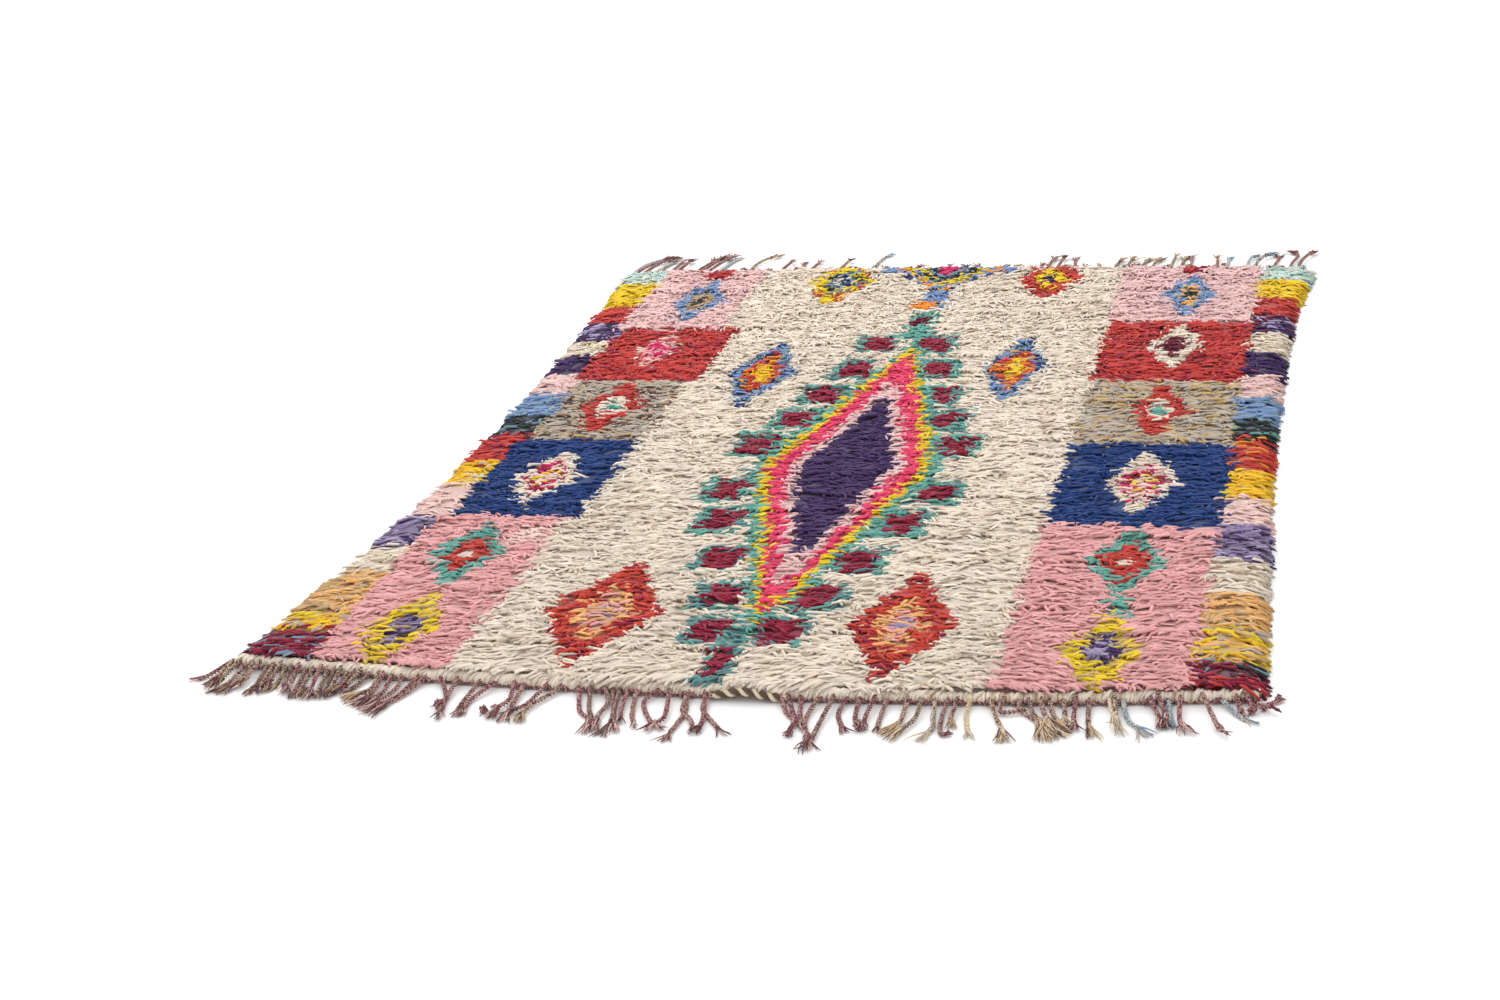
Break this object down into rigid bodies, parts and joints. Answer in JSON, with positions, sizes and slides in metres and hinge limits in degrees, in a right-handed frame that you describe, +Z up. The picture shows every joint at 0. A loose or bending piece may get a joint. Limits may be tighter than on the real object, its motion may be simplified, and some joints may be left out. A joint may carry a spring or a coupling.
{
  "type": "boucherouite rug",
  "caption": "Shaggy hand-knotted wool rug lying flat, with lozenge and block pattern, a wrapped cream end band and twisted warp fringe at both ends",
  "frame": {"origin": "middle of the flat underside, on the floor, halfway between the front and back corners of the cloth", "axes": "+X across the rug, +Y along its length from the front end with the wrapped band to the back end, +Z up out of the pile"},
  "size_m": [1.1937, 1.7851, 0.0288],
  "materials": {
    "pile_yarn": "matte shaggy pile of rag and wool yarn in many colours",
    "band_yarn": "matte cream wool wrapped over the end",
    "fringe_yarn": "twisted two-ply warp yarn, burgundy, brown and cream"
  },
  "bodies": {
    "root": {"pile_field": "pile_yarn", "front_band": "band_yarn", "front_fringe": "fringe_yarn", "back_fringe": "fringe_yarn"}
  },
  "joints": []
}
